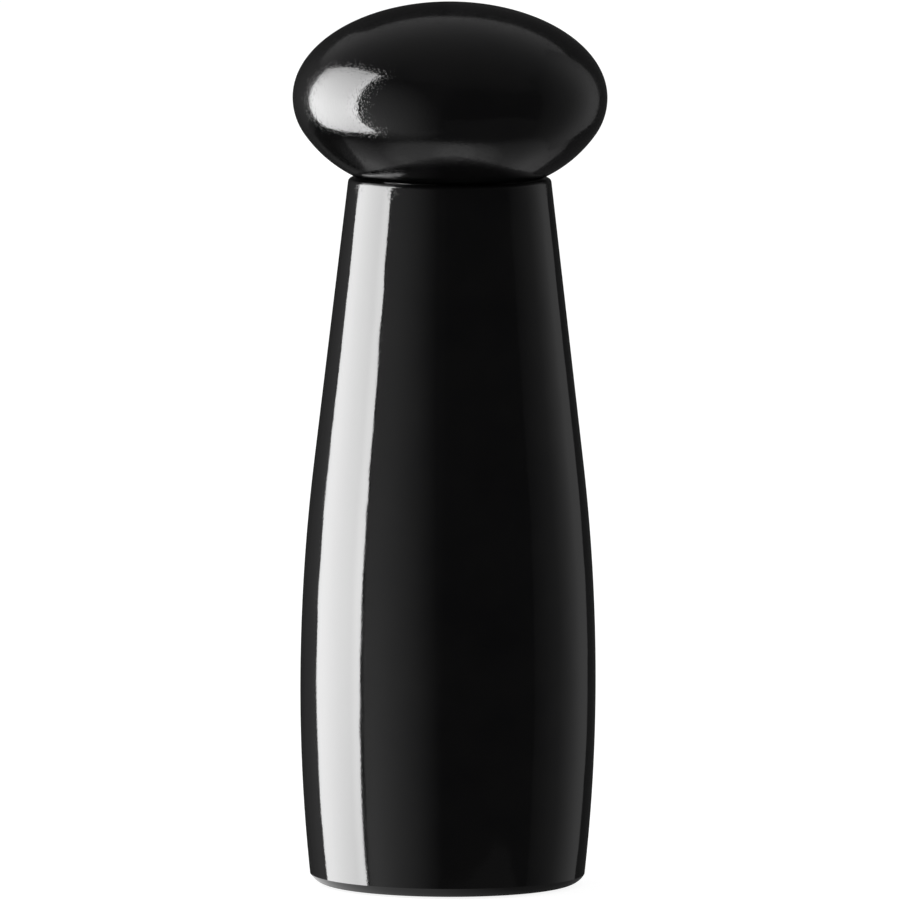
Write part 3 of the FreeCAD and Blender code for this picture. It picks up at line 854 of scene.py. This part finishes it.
drape_radius = 2.6
drape_foot = -3.0
drape_top = 2.2
# Painted glow of the dark drape by azimuth, lighter where the softbox spills on it
drape_glow_levels = [
    (178, 0.022), (165, 0.033), (155, 0.055), (148, 0.085), (140, 0.125), (128, 0.24),
    (20, 0.05), (0, 0.03), (-72, 0.03), (-145, 0.03),
]
ceiling_height = 1.25
table_height = -0.7
base_glow_height = -0.6 * MM
base_glow_radius = 33 * MM
floor_height = -0.2 * MM
floor_size = 16
floor_grey = (0.3, 0.3, 0.3, 1)
floor_glow = 0.88
even_light = 0.5
lamp_aim = Vector((0, 0, 0.09))
camera_place = Vector((0, -4.0, 0.484))
camera_aim = Vector((0.00024, 0, 0.0886))
camera_roll = math.radians(0.2)
camera_lens = 790
camera_sensor = 36
camera_reach = 50


def toward(azimuth, distance, height=0.0):
    """Place at an angle from the camera's side of the mill, counted towards the left."""
    turn = math.radians(azimuth)
    return Vector((-distance * math.sin(turn), -distance * math.cos(turn), height))


def seen_only_in_gloss(card):
    """Keeps a card to what polished surfaces mirror."""
    card.visible_camera = False
    card.visible_diffuse = False
    card.visible_transmission = False
    card.visible_volume_scatter = False
    card.visible_shadow = False


def blank_finish(name):
    finish = bpy.data.materials.new(name)
    finish.use_nodes = True
    finish.node_tree.nodes.clear()
    return finish, finish.node_tree


def show(tree, shader):
    output = add_node(tree, "ShaderNodeOutputMaterial")
    tree.links.new(shader, output.inputs["Surface"])


def add_light(tree, first, second):
    both = add_node(tree, "ShaderNodeAddShader")
    tree.links.new(first, both.inputs[0])
    tree.links.new(second, both.inputs[1])
    return both.outputs["Shader"]


def greys(stops):
    return [(position, (level, level, level)) for position, level in stops]


def falloff(tree, place, spot, reach, stops):
    """Grey round a spot on a card; its stops go from 0, where the reach ends, to 1, at the spot."""
    scale = (1 / reach[0], 1 / reach[1], 1)
    offset = (-spot[0] / reach[0], -spot[1] / reach[1], 0)
    fitted = add_node(tree, "ShaderNodeMapping", {"Location": offset, "Scale": scale})
    spread = add_node(tree, "ShaderNodeTexGradient", gradient_type="SPHERICAL")
    tree.links.new(place, fitted.inputs["Vector"])
    tree.links.new(fitted.outputs["Vector"], spread.inputs["Vector"])
    return tint(tree, spread.outputs["Fac"], greys(stops))


def fade_from(tree, place, spot, reach, stops, strength=1.0):
    """Glow that fades outwards from a spot on a card."""
    glow = add_node(tree, "ShaderNodeEmission", {"Strength": strength})
    tree.links.new(falloff(tree, place, spot, reach, stops), glow.inputs["Color"])
    return glow.outputs["Emission"]


def glowing(name, patches, shade=None):
    """Light that a card gives off, as glowing patches added together, all under one shade."""
    finish, tree = blank_finish(name)
    place = add_node(tree, "ShaderNodeTexCoord").outputs["Object"]
    light = None
    for patch in patches:
        glow = fade_from(tree, place, **patch)
        if shade:
            tree.links.new(falloff(tree, place, **shade), glow.node.inputs["Strength"])
        light = add_light(tree, light, glow) if light else glow
    show(tree, light)
    return finish


def cut_card(name, corners):
    """Flat card with its corners given across and up."""
    points = [(across, up, 0) for across, up in corners]
    card = trace(name, points + points[:1])
    bpy.ops.mesh.remove_doubles(threshold=MERGE_GAP)
    bpy.ops.mesh.edge_face_add()
    bpy.ops.object.mode_set(mode="OBJECT")
    return card


def disc(radius, steps=48):
    turns = [FULL_TURN * step / steps for step in range(steps)]
    return [(radius * math.cos(turn), radius * math.sin(turn)) for turn in turns]


def stand_up(card, facing, distance, patches):
    """Stands a card square to an azimuth; across goes towards larger azimuths."""
    turn = math.radians(facing)
    card.location = toward(facing, distance)
    card.rotation_euler = (math.pi / 2, 0, math.pi - turn)
    dress(card, glowing(card.name, patches))
    seen_only_in_gloss(card)


def lay_card(name, corners, height, patches, shade=None):
    """Level card over or under the mill; across goes to the right, and up goes to the back."""
    card = cut_card(name, corners)
    card.location.z = height
    dress(card, glowing(name, patches, shade))
    seen_only_in_gloss(card)


def set_softbox():
    """Lit cloth on a frame, its inner side drawn in and its far lower corner rounded."""
    far, low, high = 1.27, -0.40, 0.92
    corner_round = 0.47
    inner_side = [(0.075, 0.80), (0.105, 0.60), (0.109, 0.12), (0.121, -0.03), (0.126, -0.14), (0.05, low)]
    softbox = cut_card("softbox", [(far, low), (far, high), (0.58, high)] + inner_side)
    pick(softbox, lambda point: point.x > 1 and point.y < 0)
    bpy.ops.mesh.bevel(offset=corner_round, segments=10, affect="VERTICES")
    bpy.ops.object.mode_set(mode="OBJECT")
    stand_up(softbox, facing=60, distance=0.6, patches=[
        dict(spot=(0.12, 0.06), reach=(2.2, 1.45), stops=[(0.0, 0.0), (1.0, 1.0)], strength=15.0),
        dict(spot=(0.09, 0.0), reach=(0.14, 2.0), stops=[(0.0, 0.0), (0.5, 1.0)], strength=1.7),
    ])


def set_boards():
    """Boards on both sides that glow grey with painted light, brightest towards a spot on each, the right
    one cut back low down on its far side.
    """
    fill_board = cut_card("fill_board", [(-0.42, -0.95), (0.72, -0.95), (0.72, 1.1), (-0.42, 1.1)])
    stand_up(fill_board, facing=30, distance=0.9, patches=[
        dict(spot=(0.55, -0.38), reach=(0.95, 1.5), stops=[(0.0, 0.045), (0.15, 0.13), (1.0, 0.77)]),
    ])
    far_side = [(-0.45, 1.0), (-0.45, -0.08), (-0.39, -0.17), (-0.32, -0.28), (-0.32, -0.9)]
    side_board = cut_card("side_board", far_side + [(0.66, -0.9), (0.66, 1.0)])
    stand_up(side_board, facing=-110, distance=0.8, patches=[
        dict(spot=(-0.2, 0.1), reach=(0.9, 2.2),
             stops=[(0.0, 0.05), (0.3, 0.10), (0.55, 0.15), (0.8, 0.27), (1.0, 0.35)]),
    ])


def set_ceiling():
    edge = [(2.2, -2.2), (2.2, 1.45), (-0.55, 1.45), (-0.75, 2.1), (-2.2, 2.1), (-2.2, -2.2)]
    # The ceiling glows with painted light, brightest towards its back
    lay_card("ceiling", edge, ceiling_height, [
        dict(spot=(0.0, 1.6), reach=(9.0, 3.4),
             stops=[(0.0, 0.035), (0.45, 0.09), (0.62, 0.15), (0.88, 0.27), (1.0, 0.29)]),
    ])


def set_table():
    """Low table with a bay cut in its back, glowing with painted pools of light and dimmed in a round patch
    at its left back as painted shade, and a ring of painted light round the mill's base, brightest on its
    left and darkening towards its middle as a painted contact shadow.
    """
    bay = [
        (1.82, 2.0), (1.58, 1.58), (1.25, 1.06), (0.9, 0.93), (0.73, 0.95), (0.58, 0.91), (0.48, 0.95),
        (0.39, 1.02), (0.3, 1.18), (0.2, 2.0),
    ]
    edge = [(-2.0, 2.0), (-2.0, -2.0), (2.0, -2.0), (2.0, 2.0)] + bay
    # Painted pools of light on the table, dimmed to a fifth inside a round patch at its left back as
    # painted shade
    lay_card("low_table", edge, table_height, [
        dict(spot=(-0.08, -0.05), reach=(0.62, 0.52),
             stops=[(0.0, 0.07), (0.25, 0.12), (0.5, 0.5), (1.0, 0.66)]),
        dict(spot=(0.04, -0.13), reach=(0.17, 0.2), stops=[(0.0, 0.0), (0.3, 0.22), (1.0, 0.25)]),
        dict(spot=(-0.42, 0.55), reach=(0.55, 0.55), stops=[(0.0, 0.0), (1.0, 0.55)]),
        dict(spot=(-0.85, -0.8), reach=(0.75, 0.7), stops=[(0.0, 0.0), (0.6, 0.4), (1.0, 0.5)]),
        dict(spot=(0.42, 0.5), reach=(0.75, 0.75), stops=[(0.0, 0.0), (1.0, 0.34)]),
        dict(spot=(0.5, 1.1), reach=(0.5, 0.32), stops=[(0.0, 0.0), (0.5, 0.07), (1.0, 0.08)]),
    ], shade=dict(spot=(-1.0, 1.02), reach=(0.6, 0.6), stops=[(0.0, 1.0), (0.04, 0.2)]))
    round_base = (base_glow_radius, base_glow_radius)
    # Ring of painted light round the base, brightest on its left, darkened towards its middle as a painted
    # contact shadow
    lay_card("base_glow", disc(base_glow_radius), base_glow_height, [
        dict(spot=(-0.035, 0.015), reach=(0.07, 0.07), stops=[
            (0.0, 0.07), (0.1, 0.11), (0.23, 0.6), (0.5, 1.2), (0.65, 1.4), (0.82, 1.05), (1.0, 0.85)]),
    ], shade=dict(spot=(0.0, 0.0), reach=round_base, stops=[
        (0.118, 1.0), (0.176, 0.7), (0.236, 0.26), (0.321, 0.056), (1.0, 0.03)]))


def hang_drape():
    """Dark cloth all round the set, a little lighter where the softbox spills on it."""
    bpy.ops.object.select_all(action="DESELECT")
    bpy.ops.mesh.primitive_cylinder_add(vertices=64, radius=drape_radius, depth=drape_top - drape_foot,
                                        end_fill_type="NOTHING",
                                        location=(0, 0, (drape_top + drape_foot) / 2))
    drape = bpy.context.active_object
    drape.name = "dark_drape"
    finish, tree = blank_finish("dark_drape")
    place = add_node(tree, "ShaderNodeTexCoord").outputs["Object"]
    sides = add_node(tree, "ShaderNodeMapping", {"Rotation": (0, 0, math.pi / 2)})
    round_turn = add_node(tree, "ShaderNodeTexGradient", gradient_type="RADIAL")
    tree.links.new(place, sides.inputs["Vector"])
    tree.links.new(sides.outputs["Vector"], round_turn.inputs["Vector"])
    glow = add_node(tree, "ShaderNodeEmission")
    stops = [(0.5 - azimuth / 360, level) for azimuth, level in drape_glow_levels]
    tint(tree, round_turn.outputs["Fac"], greys(stops), glow.inputs["Color"])
    show(tree, glow.outputs["Emission"])
    dress(drape, finish)
    seen_only_in_gloss(drape)


def lay_floor():
    """Pale floor that only the camera sees, white but for the mill's soft shadow, and clear from below."""
    bpy.ops.object.select_all(action="DESELECT")
    bpy.ops.mesh.primitive_plane_add(size=floor_size, location=(0, 0, floor_height))
    floor = bpy.context.active_object
    floor.name = "floor"
    finish, tree = blank_finish("pale_floor")
    paint = add_node(tree, "ShaderNodeBsdfDiffuse", {"Color": floor_grey})
    glow = add_node(tree, "ShaderNodeEmission", {"Strength": floor_glow})
    clear = add_node(tree, "ShaderNodeBsdfTransparent")
    side = add_node(tree, "ShaderNodeNewGeometry")
    choice = add_node(tree, "ShaderNodeMixShader")
    tree.links.new(side.outputs["Backfacing"], choice.inputs["Fac"])
    tree.links.new(add_light(tree, paint.outputs["BSDF"], glow.outputs["Emission"]), choice.inputs[1])
    tree.links.new(clear.outputs["BSDF"], choice.inputs[2])
    show(tree, choice.outputs["Shader"])
    dress(floor, finish)
    floor.visible_diffuse = False
    floor.visible_glossy = False
    floor.visible_transmission = False
    floor.visible_shadow = False


def light_world():
    """Even light from all round, white where the camera or a polished surface looks at it."""
    world = bpy.data.worlds.new("studio_air")
    bpy.context.scene.world = world
    world.use_nodes = True
    tree = world.node_tree
    background = tree.nodes["Background"]
    background.inputs["Color"].default_value = (1, 1, 1, 1)
    ray = add_node(tree, "ShaderNodeLightPath")
    mirrored = add_node(tree, "ShaderNodeMath", operation="MAXIMUM")
    seen = add_node(tree, "ShaderNodeMath", operation="MAXIMUM")
    strength = add_node(tree, "ShaderNodeMapRange", {"To Min": even_light, "To Max": 1.0})
    tree.links.new(ray.outputs["Is Glossy Ray"], mirrored.inputs[0])
    tree.links.new(ray.outputs["Is Transmission Ray"], mirrored.inputs[1])
    tree.links.new(ray.outputs["Is Camera Ray"], seen.inputs[0])
    tree.links.new(mirrored.outputs["Value"], seen.inputs[1])
    tree.links.new(seen.outputs["Value"], strength.inputs["Value"])
    tree.links.new(strength.outputs["Result"], background.inputs["Strength"])


def hang_lamp(name, azimuth, distance, height, size, power):
    lamp_data = bpy.data.lights.new(name, "AREA")
    lamp_data.size = size
    lamp_data.energy = power
    lamp = bpy.data.objects.new(name, lamp_data)
    bpy.context.collection.objects.link(lamp)
    lamp.location = toward(azimuth, distance, height)
    aim = lamp_aim - lamp.location
    lamp.rotation_euler = aim.to_track_quat("-Z", "Y").to_euler()
    lamp.visible_camera = False
    lamp.visible_glossy = False


def set_camera():
    camera_data = bpy.data.cameras.new("camera")
    camera = bpy.data.objects.new("camera", camera_data)
    bpy.context.collection.objects.link(camera)
    camera_data.lens = camera_lens
    camera_data.sensor_width = camera_sensor
    camera_data.clip_end = camera_reach
    camera.location = camera_place
    aim = camera_aim - camera.location
    roll = Quaternion((0, 0, 1), camera_roll)
    camera.rotation_euler = (aim.to_track_quat("-Z", "Y") @ roll).to_euler()
    bpy.context.scene.camera = camera


hang_drape()
set_softbox()
set_boards()
set_ceiling()
set_table()
lay_floor()
light_world()
hang_lamp("key_lamp", azimuth=80, distance=1.3, height=0.8, size=0.9, power=12)
hang_lamp("fill_lamp", azimuth=-80, distance=1.5, height=0.7, size=0.9, power=6)
set_camera()
bpy.context.scene.view_settings.view_transform = "Standard"
